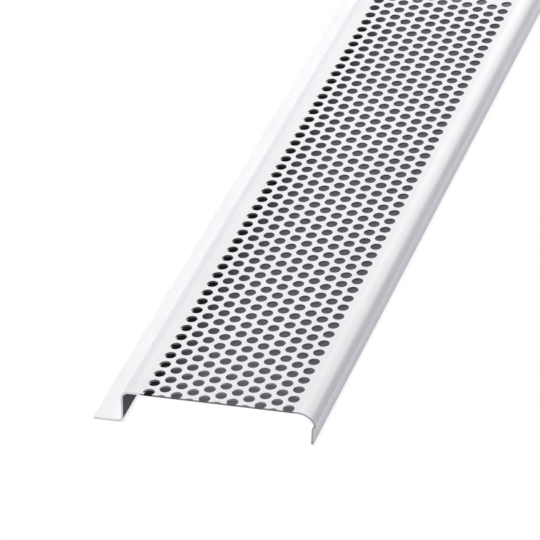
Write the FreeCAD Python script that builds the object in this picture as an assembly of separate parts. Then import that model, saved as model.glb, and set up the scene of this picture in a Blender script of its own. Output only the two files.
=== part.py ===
# Soffit strip vent: one strip of painted sheet, perforated and folded into a shallow channel.
# Millimetres. X runs across the strip from the nailing flange to the leg, Y along it, Z up.
# The origin is the middle of the underside, where the strip stands on its flange and its leg.
import FreeCAD, Part
import math
import os
from FreeCAD import Vector

INCH = 25.4

# Sheet and overall sizes
SHEET = 0.6                     # thickness of the sheet
LENGTH = 252.0                  # cut length of the strip
HEIGHT = 10.5                   # underside of the flange to the top of the web

# Folds, measured to the middle of the sheet; angles in degrees
CHANNEL_WIDTH = 56.9            # across the web, from the riser to the nose
FLANGE_WIDTH = 8.6              # from the foot of the riser to the flange's free edge
RISER_LEAN = 4.0                # the riser's foot leans outwards
SHOULDER_TURN = 60.0            # soft bend that carries the web over to the nose
NOSE_DROP = 3.6                 # from the web down to the crease of the nose
NOSE_TUCK = 0.9                 # how far the leg is tucked in behind the nose
TUCK_SLOPE = 30.0               # slope of the tuck, off the upright
LEG_LEAN = 6.0                  # the leg's foot leans inwards

# Bend radii, at the middle of the sheet
FOOT_RADIUS = 1.6
RISER_RADIUS = 2.2
SHOULDER_RADIUS = 5.0
NOSE_RADIUS = 0.7
TUCK_RADIUS = 1.5

# Perforation: round punches on staggered centres, in columns along the strip
HOLE_DIAMETER = 3.4
HOLE_PITCH = INCH * 3 / 16      # from a hole to each of the six around it
HOLE_SIDES = 4                  # flats that stand for each round hole, with its open area
FIRST_ROW = 2.0                 # near end to the first whole row; the end cuts the staggered one before it
END_LAND = 16.0                 # plain sheet left at the far end
PUNCH_OVERRUN = 0.2             # how far a punch passes both faces of the web


def tangent(degrees):
    return math.tan(math.radians(degrees))


# Corners of the folds on the sheet's middle line
FLANGE_LEVEL = SHEET / 2
WEB_LEVEL = HEIGHT - SHEET / 2
NOSE_LEVEL = WEB_LEVEL - NOSE_DROP
TUCK_LEVEL = NOSE_LEVEL - NOSE_TUCK / tangent(TUCK_SLOPE)
LEG_END_LEVEL = SHEET / 2 * math.sin(math.radians(LEG_LEAN))
RISER_X = -CHANNEL_WIDTH / 2
FOOT_X = RISER_X - (WEB_LEVEL - FLANGE_LEVEL) * tangent(RISER_LEAN)
NOSE_X = CHANNEL_WIDTH / 2
SHOULDER_X = NOSE_X - NOSE_DROP / tangent(SHOULDER_TURN)
LEG_X = NOSE_X - NOSE_TUCK
LEG_END_X = LEG_X - (TUCK_LEVEL - LEG_END_LEVEL) * tangent(LEG_LEAN)

# Flat of the web, between the bends
FLAT_LEFT = RISER_X + RISER_RADIUS * tangent((90 - RISER_LEAN) / 2)
FLAT_RIGHT = SHOULDER_X - SHOULDER_RADIUS * tangent(SHOULDER_TURN / 2)

# The folds from the flange's edge to the leg's end: corner and bend radius
FOLDS = [
    (Vector(FOOT_X - FLANGE_WIDTH, 0, FLANGE_LEVEL), 0),
    (Vector(FOOT_X, 0, FLANGE_LEVEL), FOOT_RADIUS),
    (Vector(RISER_X, 0, WEB_LEVEL), RISER_RADIUS),
    (Vector(SHOULDER_X, 0, WEB_LEVEL), SHOULDER_RADIUS),
    (Vector(NOSE_X, 0, NOSE_LEVEL), NOSE_RADIUS),
    (Vector(LEG_X, 0, TUCK_LEVEL), TUCK_RADIUS),
    (Vector(LEG_END_X, 0, LEG_END_LEVEL), 0),
]


def heading(start, end):
    return (end - start).normalize()


def shown_side(direction):
    """Unit normal towards the side of the sheet that shows."""
    return Vector(-direction.z, 0, direction.x)


def sheet_face(offset):
    """Edges of one face of the sheet: straight runs and tangent arcs, offset from the middle line."""
    corners = [corner for corner, radius in FOLDS]
    run_start = corners[0] + shown_side(heading(corners[0], corners[1])) * offset
    edges = []
    for before, (corner, radius), after in zip(corners, FOLDS[1:-1], corners[2:]):
        arriving = heading(before, corner)
        leaving = heading(corner, after)
        setback = radius * math.tan(arriving.getAngle(leaving) / 2)
        side = math.copysign(1, arriving.x * leaving.z - arriving.z * leaving.x)
        centre = corner - arriving * setback + shown_side(arriving) * radius * side
        arc_start = corner - arriving * setback + shown_side(arriving) * offset
        arc_middle = centre + heading(centre, corner) * (radius - side * offset)
        arc_end = corner + leaving * setback + shown_side(leaving) * offset
        edges.append(Part.LineSegment(run_start, arc_start).toShape())
        edges.append(Part.Arc(arc_start, arc_middle, arc_end).toShape())
        run_start = arc_end
    run_end = corners[-1] + shown_side(heading(corners[-2], corners[-1])) * offset
    edges.append(Part.LineSegment(run_start, run_end).toShape())
    return edges


def folded_strip():
    """The folded sheet before punching: its section, closed at both free edges, drawn along the strip."""
    shown = sheet_face(SHEET / 2)
    hidden = sheet_face(-SHEET / 2)
    leg_end = Part.LineSegment(shown[-1].lastVertex().Point, hidden[-1].lastVertex().Point)
    flange_edge = Part.LineSegment(hidden[0].firstVertex().Point, shown[0].firstVertex().Point)
    outline = Part.Wire(shown + [leg_end.toShape()] + hidden[::-1] + [flange_edge.toShape()])
    return Part.Face(outline).extrude(Vector(0, LENGTH, 0))


def punch(x, y):
    """Prism for one hole: a regular polygon with the round hole's area, and a flat towards the next row."""
    step = 2 * math.pi / HOLE_SIDES
    reach = HOLE_DIAMETER * math.sqrt(math.pi / (2 * HOLE_SIDES * math.sin(step)))
    bottom = HEIGHT - SHEET - PUNCH_OVERRUN
    turns = [math.pi / 2 + step * (side + 0.5) for side in range(HOLE_SIDES + 1)]
    ring = [Vector(x + reach * math.cos(turn), y + reach * math.sin(turn), bottom) for turn in turns]
    return Part.Face(Part.makePolygon(ring)).extrude(Vector(0, 0, SHEET + 2 * PUNCH_OVERRUN))


def perforation():
    """All the punches: columns that fill the flat of the web about its middle, staggered by half a pitch."""
    column_spacing = HOLE_PITCH * math.sqrt(3) / 2
    room = min(-FLAT_LEFT, FLAT_RIGHT) - HOLE_DIAMETER / 2
    columns_aside = int(room // column_spacing)
    punches = []
    for column in range(-columns_aside, columns_aside + 1):
        stagger = (column + columns_aside) % 2 * HOLE_PITCH / 2
        rows = math.ceil((LENGTH - END_LAND - FIRST_ROW + stagger) / HOLE_PITCH)
        for row in range(rows):
            punches.append(punch(column * column_spacing, FIRST_ROW - stagger + row * HOLE_PITCH))
    return Part.makeCompound(punches)


def vent_strip():
    strip = folded_strip().cut(perforation()).Solids[0]
    middle = strip.BoundBox.Center
    strip.translate(Vector(-middle.x, -middle.y, 0))
    return strip


os.makedirs("parts", exist_ok=True)
vent_strip().exportStep("parts/vent_strip.step")
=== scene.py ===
"""Looks of a soffit strip vent: its punched and folded sheet, its finishes, the floor, light and camera.

Sizes are in millimetres until the mesh is made. Along the strip, y is counted from the near end,
and x and z are those of the section, with the middle column of holes at x = 0.
"""
import math

import bpy
import numpy as np
from mathutils import Matrix, Vector


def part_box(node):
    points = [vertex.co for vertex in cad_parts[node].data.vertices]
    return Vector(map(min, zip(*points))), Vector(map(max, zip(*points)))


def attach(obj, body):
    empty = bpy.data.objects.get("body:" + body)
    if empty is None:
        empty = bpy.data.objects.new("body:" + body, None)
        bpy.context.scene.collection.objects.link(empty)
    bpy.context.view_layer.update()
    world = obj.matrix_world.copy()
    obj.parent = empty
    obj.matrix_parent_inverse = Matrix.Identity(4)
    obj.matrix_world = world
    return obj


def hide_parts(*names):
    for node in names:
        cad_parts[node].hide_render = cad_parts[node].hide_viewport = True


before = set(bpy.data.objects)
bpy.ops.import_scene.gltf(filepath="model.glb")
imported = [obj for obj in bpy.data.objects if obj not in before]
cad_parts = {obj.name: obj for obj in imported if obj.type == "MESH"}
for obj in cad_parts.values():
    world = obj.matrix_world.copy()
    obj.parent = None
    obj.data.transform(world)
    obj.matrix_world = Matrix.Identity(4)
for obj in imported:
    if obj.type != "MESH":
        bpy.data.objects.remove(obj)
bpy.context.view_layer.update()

MM = 0.001
INCH = 25.4

# How much farther in than the source's the near end is sheared, so that it cuts the first row too
NEAR_TRIM = 0.8

# The strip, as in the part's source; angles in degrees
SHEET = 0.6
LENGTH = 252.0 - NEAR_TRIM
HEIGHT = 10.5
CHANNEL_WIDTH = 56.9
FLANGE_WIDTH = 8.6
RISER_LEAN = 4.0
SHOULDER_TURN = 60.0
NOSE_DROP = 3.6
NOSE_TUCK = 0.9
TUCK_SLOPE = 30.0
LEG_LEAN = 6.0
FOOT_RADIUS = 1.6
RISER_RADIUS = 2.2
SHOULDER_RADIUS = 5.0
NOSE_RADIUS = 0.7
TUCK_RADIUS = 1.5
HOLE_RADIUS = 1.7
HOLE_PITCH = INCH * 3 / 16
COLUMN_SPACING = HOLE_PITCH * math.sqrt(3) / 2
COLUMNS_ASIDE = 5
FIRST_ROW = 2.0 - NEAR_TRIM
END_LAND = 16.0

# Finer form that the source leaves out
EASED_EDGE = 0.1
BEND_STEP = 9.0
HOLE_STEPS = 16
WELD = 0.001

# Finish of each face of the sheet, in the order of the mesh's materials
ENAMEL, BACK_COAT, SHEARED, PUNCHED_AND_SHADE = range(4)

# Enamel: grey of the painted shade along the riser's bend and plain white, that shade's width, and how much
# of its tone drifts
BEND_SHADE_GREY = (0.7, 0.7, 0.73)
ENAMEL_WHITE = (0.877, 0.879, 0.89)
BEND_SHADE_WIDTH = 4.0
DRIFT_SHARE = 0.22

# Where across the strip the cut edges pass from painted light on the flange's side to their own grey
EDGE_LIGHT_FADE = (-5.0, 5.0)

# The stage: levels of floor and of the card of painted shade, how far the card stops short of the strip's
# sides or passes its far end, where its painted glow sets in from the left, and how far the contact shadow
# and the floor reach
FLOOR_LEVEL = -0.02
CARD_LEVEL = 0.03
CARD_LEFT = 10.0
CARD_RIGHT = 2.0
CARD_BEYOND = 3.5
CARD_PAINTED_GLOW = (3.0, 6.0)
SHADOW_REACH = 1.3
FLOOR_REACH = 3000.0

# The photograph's camera; its target is a place on the strip
CAMERA_AZIMUTH = 20.26
CAMERA_ELEVATION = 32.27
CAMERA_ROLL = -4.96
CAMERA_DISTANCE = 1285.3
CAMERA_TARGET = (-6.32, 68.75, 10.5)
CAMERA_LENS = 293.7
SENSOR_WIDTH = 36.0

# Light, in metres and watts
SKY_STRENGTH = 0.1
FLOOR_COLOUR = (0.9, 0.875, 1.0)
KEY_PLACE = (-0.62, 0.15, 1.07)
KEY_LONG_SIDE = (0, 1, 0)
KEY_SIZE = (0.7, 0.7)
KEY_WATTS = 13.5
EDGE_PLACE = (0.7, 2.1, 1.15)
EDGE_LONG_SIDE = (1, 0, -0.4)
EDGE_SIZE = (2.2, 0.5)
EDGE_WATTS = 25.0
FRONT_PLACE = (0.3, -1.9, 0.45)
FRONT_LONG_SIDE = (1, 0, 0)
FRONT_SIZE = (0.7, 0.7)
FRONT_WATTS = 3.9


def slope(angle):
    return math.tan(math.radians(angle))


def fold_corners():
    """Corners of the sheet's middle line in (x, z), from flange edge to leg end, and the bend radii."""
    flange_level = SHEET / 2
    web_level = HEIGHT - SHEET / 2
    nose_level = web_level - NOSE_DROP
    tuck_level = nose_level - NOSE_TUCK / slope(TUCK_SLOPE)
    leg_end_level = SHEET / 2 * math.sin(math.radians(LEG_LEAN))
    riser_x = -CHANNEL_WIDTH / 2
    foot_x = riser_x - (web_level - flange_level) * slope(RISER_LEAN)
    nose_x = CHANNEL_WIDTH / 2
    leg_x = nose_x - NOSE_TUCK
    corners = np.array([
        (foot_x - FLANGE_WIDTH, flange_level),
        (foot_x, flange_level),
        (riser_x, web_level),
        (nose_x - NOSE_DROP / slope(SHOULDER_TURN), web_level),
        (nose_x, nose_level),
        (leg_x, tuck_level),
        (leg_x - (tuck_level - leg_end_level) * slope(LEG_LEAN), leg_end_level),
    ])
    return corners, (FOOT_RADIUS, RISER_RADIUS, SHOULDER_RADIUS, NOSE_RADIUS, TUCK_RADIUS)


def bends(corners, radii):
    """Points and headings of each bend of the middle line.

    A bend starts its setback, radius * tan(turn / 2), before its corner. As the heading h goes from h0
    to h1, its point is start + radius * (sin h - sin h0, cos h0 - cos h), with the radius negative in a
    right turn.
    """
    runs = np.diff(corners, axis=0)
    headings = np.arctan2(runs[:, 1], runs[:, 0])
    made = []
    for corner, radius, before, after in zip(corners[1:-1], radii, headings[:-1], headings[1:]):
        turn = after - before
        h = np.linspace(before, after, 2 + round(abs(math.degrees(turn)) / BEND_STEP))
        setback = radius * abs(math.tan(turn / 2))
        start = corner - setback * np.array([math.cos(before), math.sin(before)])
        swing = np.stack([np.sin(h) - math.sin(before), math.cos(before) - np.cos(h)], axis=-1)
        made.append((start + math.copysign(radius, turn) * swing, h))
    return made


def sheet_pairs(points, headings, free_end):
    """Shown and hidden face points either side of the middle line, with an eased edge at its free end.

    A face point lies half a sheet from the line along its normal (-sin h, cos h). At the free end, index 0
    or -1, the faces stop one ease short of the edge, and the edge stops one ease short of the faces.
    """
    normals = np.stack([-np.sin(headings), np.cos(headings)], axis=-1)
    along = np.array([math.cos(headings[free_end]), math.sin(headings[free_end])])
    inward = along if free_end == 0 else -along
    faces = []
    for side in (1, -1):
        face = points + side * normals * SHEET / 2
        edge = face[free_end] - side * normals[free_end] * EASED_EDGE
        face[free_end] = face[free_end] + inward * EASED_EDGE
        ordered = [edge[None], face] if free_end == 0 else [face, edge[None]]
        faces.append(np.vstack(ordered))
    return faces


def grid_faces(across, along):
    """Corner numbers of a grid's faces, with its points counted across first and then along."""
    i, j = np.meshgrid(np.arange(across - 1), np.arange(along - 1), indexing="ij")
    first = (i * along + j).ravel()
    return np.stack([first, first + along, first + along + 1, first + 1], axis=-1)


def swept(outline, finishes, stations):
    """A strip's surface: each point of an outline in (x, z) carried to every station in y."""
    across, along = len(outline), len(stations)
    x, y = np.meshgrid(outline[:, 0], stations, indexing="ij")
    z = np.repeat(outline[:, 1:], along, axis=1)
    points = np.stack([x, y, z], axis=-1).reshape(-1, 3)
    return points, grid_faces(across, along), np.repeat(finishes, along - 1)


def end_cap(upper, lower, y, far):
    """The sheared end of the sheet at y: faces between the two faces' points, looking out of the strip."""
    points = np.insert(np.vstack([upper, lower]), 1, y, axis=1)
    first = np.arange(len(upper) - 1)
    faces = np.stack([first + len(upper), first + len(upper) + 1, first + 1, first], axis=-1)
    return points, faces[:, ::-1] if far else faces, np.full(len(faces), SHEARED)


def folded_side(points, headings, free_end, stations):
    """The sheet from the punched web to one free edge, with both its ends."""
    shown, hidden = sheet_pairs(points, headings, free_end)
    lines = [hidden[::-1], shown] if free_end == 0 else [shown, hidden[::-1]]
    order = [BACK_COAT, ENAMEL] if free_end == 0 else [ENAMEL, BACK_COAT]
    runs = len(shown) - 1
    finishes = np.repeat([order[0], SHEARED, order[1]], [runs, 1, runs])
    return [
        swept(np.vstack(lines), finishes, stations),
        end_cap(shown, hidden, 0, far=False),
        end_cap(shown, hidden, LENGTH, far=True),
    ]


def square_walk(step):
    """Walk round a square of half side 1, in step with the hole's turn, by two clipped triangle waves."""
    quarter = HOLE_STEPS / 4

    def wave(k):
        from_start = np.abs((k + 2 * quarter) % HOLE_STEPS - 2 * quarter)
        return np.clip((quarter - from_start) * 2 / quarter, -1, 1)

    return np.stack([wave(step), wave(step - quarter)], axis=-1)


def hole_layers(centre_y, step):
    """The four lines of a hole in its rectangle of web: rectangle, rim, exit and rectangle beneath.

    A ring's point is its radius times (cos, sin) of the step's angle. What would lie past the near end
    moves to it: a rectangle's point straight along, a ring's to where its circle meets the end.
    """
    angle = step * 2 * math.pi / HOLE_STEPS
    rectangle = square_walk(step) * (COLUMN_SPACING / 2, HOLE_PITCH / 2) + (0, centre_y)
    rectangle[:, 1] = np.maximum(rectangle[:, 1], 0)
    x = HOLE_RADIUS * np.cos(angle)
    y = HOLE_RADIUS * np.sin(angle) + centre_y
    meeting = math.sqrt(max(HOLE_RADIUS ** 2 - centre_y ** 2, 0))
    ring = np.stack([np.where(y < 0, np.sign(x) * meeting, x), np.maximum(y, 0)], axis=-1)
    lines = (rectangle, ring, ring, rectangle)
    levels = (HEIGHT, HEIGHT, HEIGHT - SHEET, HEIGHT - SHEET)
    return np.stack([np.insert(line, 2, level, axis=1) for line, level in zip(lines, levels)])


def repeated(points, faces, finishes, places):
    """Copies of one small surface, moved by each place's (x, y)."""
    moves = np.insert(places, 2, 0, axis=1)
    copies = (points[None] + moves[:, None]).reshape(-1, 3)
    starts = np.arange(len(places)) * len(points)
    numbers = (faces[None] + starts[:, None, None]).reshape(-1, 4)
    return copies, numbers, np.tile(finishes, len(places))


def punched_cells(centre_y, step, places):
    """Holes with their rectangles of web, one at each place, from lines joined in order."""
    layers = hole_layers(centre_y, step)
    finishes = np.repeat([ENAMEL, PUNCHED_AND_SHADE, BACK_COAT], len(step) - 1)
    faces = grid_faces(len(layers), len(step))[:, ::-1]
    return repeated(layers.reshape(-1, 3), faces, finishes, places)


def notch_ends(centre_y, step, places):
    """The sheared end of the web either side of each hole that the near end cuts through, dark as painted
    shade.
    """
    layers = hole_layers(centre_y, step)
    right, left = layers[:, 0], layers[:, -1]
    faces = np.array([(3, 0, 1, 2), (7, 6, 5, 4)])
    # Painted shade: the punch's dark grey on the web's cut front edge
    return repeated(np.vstack([right, left]), faces, np.full(len(faces), PUNCHED_AND_SHADE), places)


def column_faces(column_x):
    """Lines across one column of the web in (x, z), on its shown and its hidden face."""
    x = column_x + np.linspace(-1, 1, 1 + HOLE_STEPS // 4) * COLUMN_SPACING / 2
    upper = np.stack([x, np.full_like(x, HEIGHT)], axis=-1)
    return upper, upper - (0, SHEET)


def plain_land(column_x, start, stations):
    """Unpunched web of one column past its last hole: a grid for each face, and the far end."""
    upper, lower = column_faces(column_x)
    beyond = stations[stations > start - WELD]
    runs = len(upper) - 1
    return [
        swept(upper, np.full(runs, ENAMEL), beyond),
        swept(lower[::-1], np.full(runs, BACK_COAT), beyond),
        end_cap(upper, lower, LENGTH, far=True),
    ]


def punched_web(stations):
    """The web's columns of holes with their land; the near end cuts the first hole of each, high or low."""
    columns = np.arange(-COLUMNS_ASIDE, COLUMNS_ASIDE + 1)
    eighth = HOLE_STEPS // 8
    whole_turn = np.arange(HOLE_STEPS + 1)
    cut_low = np.arange(-eighth, 5 * eighth + 1)
    cut_high = np.arange(4 * eighth + 1)
    parts = []
    for first, stagger, kept_turn in ((0, 0.0, cut_low), (1, HOLE_PITCH / 2, cut_high)):
        x = columns[(columns + COLUMNS_ASIDE) % 2 == first] * COLUMN_SPACING
        first_y = FIRST_ROW - stagger
        rows = math.ceil((LENGTH - END_LAND - first_y) / HOLE_PITCH)
        at_end = np.stack([x, np.zeros_like(x)], axis=-1)
        parts.append(punched_cells(first_y, kept_turn, at_end))
        parts.append(notch_ends(first_y, kept_turn, at_end))
        across, along = np.meshgrid(x, np.arange(rows - 1) * HOLE_PITCH)
        full_rows = np.stack([across.ravel(), along.ravel()], axis=-1)
        parts.append(punched_cells(first_y + HOLE_PITCH, whole_turn, full_rows))
        for column_x in x:
            parts += plain_land(column_x, first_y + (rows - 0.5) * HOLE_PITCH, stations)
    return parts


def welded(parts):
    """One surface from many: coinciding points become one, and a face that loses a corner a triangle."""
    starts = np.cumsum([0] + [len(points) for points, faces, finishes in parts[:-1]])
    points = np.vstack([part[0] for part in parts])
    faces = np.vstack([part[1] + start for part, start in zip(parts, starts)])
    finishes = np.hstack([part[2] for part in parts])
    marks = np.floor(points / WELD + 0.37)
    first, same = np.unique(marks, axis=0, return_index=True, return_inverse=True)[1:]
    faces = same.reshape(-1)[faces]
    lost = faces == np.roll(faces, -1, axis=1)
    whole, triangle = lost.sum(1) == 0, lost.sum(1) == 1
    triangles = faces[triangle][~lost[triangle]].reshape(-1, 3)
    finishes = np.hstack([finishes[whole], finishes[triangle]])
    return points[first], faces[whole].tolist() + triangles.tolist(), finishes


def frame_place(points):
    """Section places in millimetres as frame places in metres, by the strip's lowest corner in both."""
    section_corner = (fold_corners()[0][0, 0], -NEAR_TRIM, 0)
    return (np.asarray(points) - section_corner) * MM + np.array(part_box("vent_strip")[0])


def vent_sheet():
    """The strip as one closed surface, in the frame's place."""
    corners, radii = fold_corners()
    foot, riser, shoulder, nose, tuck = bends(corners, radii)
    web_level = HEIGHT - SHEET / 2
    pattern_edge = (COLUMNS_ASIDE + 0.5) * COLUMN_SPACING
    quarter_row = HOLE_PITCH / 4
    quarter_rows = np.arange(FIRST_ROW % quarter_row, LENGTH - quarter_row / 2, quarter_row)
    stations = np.hstack([0, quarter_rows, LENGTH])
    flange_line = np.vstack([corners[:1], foot[0], riser[0], [(-pattern_edge, web_level)]])
    flange_headings = np.hstack([0, foot[1], riser[1], 0])
    leg_line = np.vstack([[(pattern_edge, web_level)], shoulder[0], nose[0], tuck[0], corners[-1:]])
    leg_headings = np.hstack([0, shoulder[1], nose[1], tuck[1], tuck[1][-1]])
    parts = folded_side(flange_line, flange_headings, 0, stations)
    parts += folded_side(leg_line, leg_headings, -1, stations)
    parts += punched_web(stations)
    points, faces, finishes = welded(parts)
    mesh = bpy.data.meshes.new("vent_sheet")
    mesh.from_pydata(frame_place(points), [], faces)
    mesh.polygons.foreach_set("material_index", finishes.astype(np.int32))
    mesh.polygons.foreach_set("use_smooth", np.ones(len(faces), bool))
    mesh.set_sharp_from_angle(angle=math.radians(30))
    return mesh


class Value:
    """A number, colour or vector on its way through a material's nodes; arithmetic adds Math nodes."""

    def __init__(self, tree, socket=None):
        self.tree = tree
        self.socket = socket

    def node(self, kind, settings, sockets, output=0):
        """Adds a node of that kind: its settings first, then the value or link of each named socket."""
        made = self.tree.nodes.new(kind)
        for name, setting in settings.items():
            setattr(made, name, setting)
        for name, source in sockets.items():
            if isinstance(source, Value):
                self.tree.links.new(source.socket, made.inputs[name])
            else:
                made.inputs[name].default_value = source
        return Value(self.tree, made.outputs[output] if made.outputs else None)

    def maths(self, operation, first, second):
        return self.node("ShaderNodeMath", {"operation": operation}, {0: first, 1: second})

    def __add__(self, other):
        return self.maths("ADD", self, other)

    def __radd__(self, other):
        return self.maths("ADD", other, self)

    def __sub__(self, other):
        return self.maths("SUBTRACT", self, other)

    def __rsub__(self, other):
        return self.maths("SUBTRACT", other, self)

    def __mul__(self, other):
        return self.maths("MULTIPLY", self, other)

    def __rmul__(self, other):
        return self.maths("MULTIPLY", other, self)

    def between(self, low, high):
        """0 up to low, 1 from high on, and a smooth rise between them."""
        settings = {"interpolation_type": "SMOOTHSTEP"}
        return self.node("ShaderNodeMapRange", settings, {"Value": self, "From Min": low, "From Max": high})

    def tint(self, low, high):
        """From one colour at 0 to the other at 1."""
        settings = {"data_type": "RGBA"}
        sockets = {"Factor": self, 6: (*low, 1), 7: (*high, 1)}
        return self.node("ShaderNodeMix", settings, sockets, output=2)


def new_material(name):
    """A material with no nodes yet, and the start of its expressions."""
    material = bpy.data.materials.new(name)
    material.use_nodes = True
    material.node_tree.nodes.clear()
    return material, Value(material.node_tree)


def object_place(start, stretch=(1, 1, 1)):
    """The surface's place on the piece, in metres, drawn out by a stretch in each direction."""
    place = start.node("ShaderNodeTexCoord", {}, {}, output="Object")
    return start.node("ShaderNodeMapping", {}, {"Vector": place, "Scale": stretch})


def along_axis(place, axis):
    """One axis of a place, in metres."""
    return place.node("ShaderNodeSeparateXYZ", {}, {"Vector": place}, output=axis)


def speckle(place, size, detail=2.0, roughness=0.5):
    """Soft noise from 0 to 1 whose blotches are about that many millimetres across."""
    sockets = {"Vector": place, "Scale": 1 / (size * MM), "Detail": detail, "Roughness": roughness}
    return place.node("ShaderNodeTexNoise", {}, sockets)


def bumped(height, strength, depth):
    """A normal that follows a height of that many millimetres."""
    sockets = {"Height": height, "Strength": strength, "Distance": depth * MM}
    return height.node("ShaderNodeBump", {}, sockets)


def white_enamel():
    """Baked white enamel: fine orange peel, roller lines along the strip, soft drifts and a painted shade
    line.

    The painted shade is a faint grey line on the bend between riser and web.
    """
    material, start = new_material("white_enamel")
    place = object_place(start)
    # Painted shade: the enamel goes grey in a line along the bend between riser and web
    bend_side = frame_place((-CHANNEL_WIDTH / 2, 0, 0))[0]
    clear = along_axis(place, "X").between(bend_side, bend_side + BEND_SHADE_WIDTH * MM)
    top = along_axis(place, "Z").between((HEIGHT - RISER_RADIUS) * MM, (HEIGHT - RISER_RADIUS / 2) * MM)
    unshaded = 1 - (1 - clear) * top
    peel = speckle(place, 0.9)
    drift = speckle(place, 26, 3.0)
    roller = speckle(object_place(start, (1, 0.012, 1)), 1.1, 1.0)
    film = (drift * 0.7 + roller * 0.3).between(0.3, 0.7)
    shader = start.node("ShaderNodeBsdfPrincipled", {}, {
        "Base Color": (film * DRIFT_SHARE + unshaded * (1 - DRIFT_SHARE)).tint(BEND_SHADE_GREY, ENAMEL_WHITE),
        "Roughness": 0.26 + drift * 0.1 + peel * 0.04,
        "Normal": bumped(peel * 0.7 + roller * 0.3, 0.25, 0.012),
    })
    start.node("ShaderNodeOutputMaterial", {}, {"Surface": shader})
    return material


def back_coat():
    """Thin grey wash coat on the hidden side, mottled and dull."""
    material, start = new_material("back_coat")
    place = object_place(start)
    mottle = speckle(place, 7, 4.0, 0.6)
    grain = speckle(place, 0.5)
    shader = start.node("ShaderNodeBsdfPrincipled", {}, {
        "Base Color": mottle.between(0.3, 0.7).tint((0.075, 0.08, 0.105), (0.11, 0.115, 0.145)),
        "Specular IOR Level": 0.35,
        "Roughness": 0.6 + grain * 0.15,
        "Normal": bumped(grain, 0.3, 0.01),
    })
    start.node("ShaderNodeOutputMaterial", {}, {"Surface": shader})
    return material


def cut_edge(name, dark, pale, painted_light_share):
    """Cut edge of the sheet between two greys, in fine lines across its thickness.

    On the flange's side it is that much paler, which is painted light.
    """
    material, start = new_material(name)
    lines = speckle(object_place(start, (1, 1, 0.08)), 0.12)
    # Painted light: the cut edge is paler on the flange's side
    past_painted_light = along_axis(object_place(start), "X").between(EDGE_LIGHT_FADE[0] * MM, EDGE_LIGHT_FADE[1] * MM)
    shader = start.node("ShaderNodeBsdfPrincipled", {}, {
        "Base Color": (lines * 0.3 + (1 - past_painted_light) * painted_light_share).tint(dark, pale),
        "Metallic": 0.3,
        "Roughness": 0.42 + lines * 0.2,
        "Normal": bumped(lines, 0.3, 0.01),
    })
    start.node("ShaderNodeOutputMaterial", {}, {"Surface": shader})
    return material


def sheared_edge():
    """Edge left by the shears at the strip's ends and sides, paler with painted light towards the flange.
    """
    return cut_edge("sheared_edge", (0.42, 0.42, 0.435), (0.95, 0.95, 0.96), 0.75)


def punched_edge_and_shade():
    """Dull dark edge left by the punch inside each hole, and painted shade on the web's cut end beside the
    cut holes.
    """
    return cut_edge("punched_edge_and_shade", (0.24, 0.243, 0.26), (0.44, 0.443, 0.46), 0.0)


def seen_directly(start):
    """1 for rays from the camera, a mirror or glass, and 0 for light that bounces on."""
    rays = {}
    for name in ("Is Camera Ray", "Is Glossy Ray", "Is Transmission Ray"):
        rays[name] = start.node("ShaderNodeLightPath", {}, {}, output=name)
    return rays["Is Camera Ray"] + rays["Is Glossy Ray"] + rays["Is Transmission Ray"]


def flat_piece(name, low, high, z):
    """A level rectangle between two corners in (x, y), in metres."""
    x, y = np.meshgrid([low[0], high[0]], [low[1], high[1]], indexing="ij")
    points = np.stack([x, y, np.full_like(x, z)], axis=-1).reshape(-1, 3)
    mesh = bpy.data.meshes.new(name)
    mesh.from_pydata(points, [], grid_faces(2, 2).tolist())
    piece = bpy.data.objects.new(name, mesh)
    bpy.context.scene.collection.objects.link(piece)
    return piece


def white_floor():
    """Pale floor: white where it is seen in the open, with the strip's soft contact shadow."""
    material, start = new_material("white_floor")
    reach = {"Distance": SHADOW_REACH * MM}
    open_sky = start.node("ShaderNodeAmbientOcclusion", {"samples": 8}, reach, output="AO")
    shade = open_sky.between(0.2, 0.9).tint((0.75, 0.75, 0.77), (1, 1, 1))
    white = start.node("ShaderNodeEmission", {}, {"Color": shade, "Strength": 1.0})
    matt = start.node("ShaderNodeBsdfDiffuse", {}, {"Color": (*FLOOR_COLOUR, 1)})
    shader = start.node("ShaderNodeMixShader", {}, {0: seen_directly(start), 1: matt, 2: white})
    start.node("ShaderNodeOutputMaterial", {}, {"Surface": shader})
    return material


def painted_shade_card(edge):
    """Dull dark card of painted shade, with a painted dim glow that fades out towards the edge at that x.
    """
    material, start = new_material("painted_shade_card")
    place = object_place(start)
    tooth = speckle(place, 3, 3.0)
    dark, lit = (edge + inset * MM for inset in CARD_PAINTED_GLOW)
    # Painted light: the card glows dimly, except beside the riser, where it stays dark as painted shadow
    painted_glow = along_axis(place, "X").between(dark, lit) * (0.75 + tooth * 0.5)
    # The card's dark colour is painted shade under the web
    shader = start.node("ShaderNodeBsdfPrincipled", {}, {
        "Base Color": tooth.tint((0.1, 0.103, 0.12), (0.15, 0.153, 0.175)),
        "Roughness": 0.8 + tooth * 0.1,
        "Emission Color": painted_glow.tint((0, 0, 0), (0.046, 0.047, 0.057)),
        "Emission Strength": 1.0,
    })
    start.node("ShaderNodeOutputMaterial", {}, {"Surface": shader})
    return material


def stage_pieces():
    """The floor, and the dark card of painted shade under the punched web, from where the sight line under
    the near end lands.
    """
    reach = FLOOR_REACH * MM
    floor = flat_piece("floor", (-reach, -reach), (reach, reach), FLOOR_LEVEL * MM)
    floor.data.materials.append(white_floor())
    low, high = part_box("vent_strip")
    eye = camera_place()
    sight = eye.y * (1 - eye.z / (eye.z - HEIGHT + SHEET))
    near = frame_place((0, sight, 0))[1]
    left = low.x + CARD_LEFT * MM
    far_corner = (high.x - CARD_RIGHT * MM, high.y + CARD_BEYOND * MM)
    card = flat_piece("card", (left, near), far_corner, CARD_LEVEL * MM)
    card.data.materials.append(painted_shade_card(left))


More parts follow.
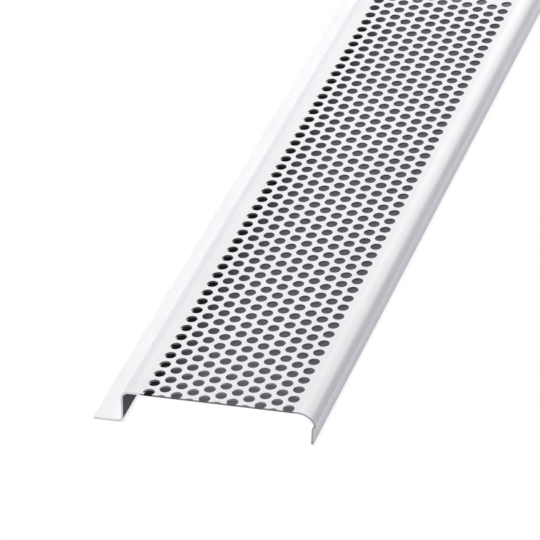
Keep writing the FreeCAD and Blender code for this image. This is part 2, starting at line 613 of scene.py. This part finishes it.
def area_lamp(name, place, long_side, size, watts):
    """A soft rectangular lamp that faces the strip's middle, its long side turned towards a direction."""
    back = Vector(place).normalized()
    across = (Vector(long_side) - back * back.dot(Vector(long_side))).normalized()
    lamp = bpy.data.lights.new(name, "AREA")
    lamp.shape = "RECTANGLE"
    lamp.size, lamp.size_y = size
    lamp.energy = watts
    holder = bpy.data.objects.new(name, lamp)
    bpy.context.scene.collection.objects.link(holder)
    turn = Matrix((across, back.cross(across), back)).transposed().to_4x4()
    holder.matrix_world = Matrix.Translation(place) @ turn


def soft_light():
    """A faint even sky, white to the camera, and lamps over the flange, behind the leg and in front."""
    world = bpy.data.worlds.new("studio")
    bpy.context.scene.world = world
    world.use_nodes = True
    world.node_tree.nodes.clear()
    start = Value(world.node_tree)
    sky = start.node("ShaderNodeBackground", {}, {"Color": (0.97, 0.98, 1.0, 1), "Strength": SKY_STRENGTH})
    white = start.node("ShaderNodeBackground", {}, {"Color": (1, 1, 1, 1), "Strength": 1.0})
    shown = start.node("ShaderNodeMixShader", {}, {0: seen_directly(start), 1: sky, 2: white})
    start.node("ShaderNodeOutputWorld", {}, {"Surface": shown})
    area_lamp("key", KEY_PLACE, KEY_LONG_SIDE, KEY_SIZE, KEY_WATTS)
    area_lamp("edge", EDGE_PLACE, EDGE_LONG_SIDE, EDGE_SIZE, EDGE_WATTS)
    area_lamp("front", FRONT_PLACE, FRONT_LONG_SIDE, FRONT_SIZE, FRONT_WATTS)


def camera_turn():
    """The camera's right, up and back: azimuth from -Y towards +X, elevation, then roll about its axis."""
    azimuth, elevation, roll = (math.radians(a) for a in (CAMERA_AZIMUTH, CAMERA_ELEVATION, CAMERA_ROLL))
    level = Vector((math.cos(azimuth), math.sin(azimuth), 0))
    forward = Vector((-math.sin(azimuth), math.cos(azimuth), 0))
    back = Vector((0, 0, math.sin(elevation))) - forward * math.cos(elevation)
    upright = back.cross(level)
    right = level * math.cos(roll) + upright * math.sin(roll)
    up = upright * math.cos(roll) - level * math.sin(roll)
    return right, up, back


def camera_place():
    """Where the camera stands, counted as the strip's places are."""
    return Vector(CAMERA_TARGET) + camera_turn()[2] * CAMERA_DISTANCE


def photograph_camera():
    """The camera, far off with a long lens."""
    lens = bpy.data.cameras.new("camera")
    lens.lens = CAMERA_LENS
    lens.sensor_width = SENSOR_WIDTH
    lens.clip_start = 0.01
    lens.clip_end = 100
    camera = bpy.data.objects.new("camera", lens)
    bpy.context.scene.collection.objects.link(camera)
    place = Vector(frame_place(camera_place()))
    camera.matrix_world = Matrix.Translation(place) @ Matrix(camera_turn()).transposed().to_4x4()
    bpy.context.scene.camera = camera


sheet = bpy.data.objects.new("vent_sheet", vent_sheet())
bpy.context.scene.collection.objects.link(sheet)
for finish in (white_enamel, back_coat, sheared_edge, punched_edge_and_shade):
    sheet.data.materials.append(finish())
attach(sheet, "root")
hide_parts("vent_strip")

stage_pieces()
soft_light()
photograph_camera()
bpy.context.scene.view_settings.view_transform = "Standard"
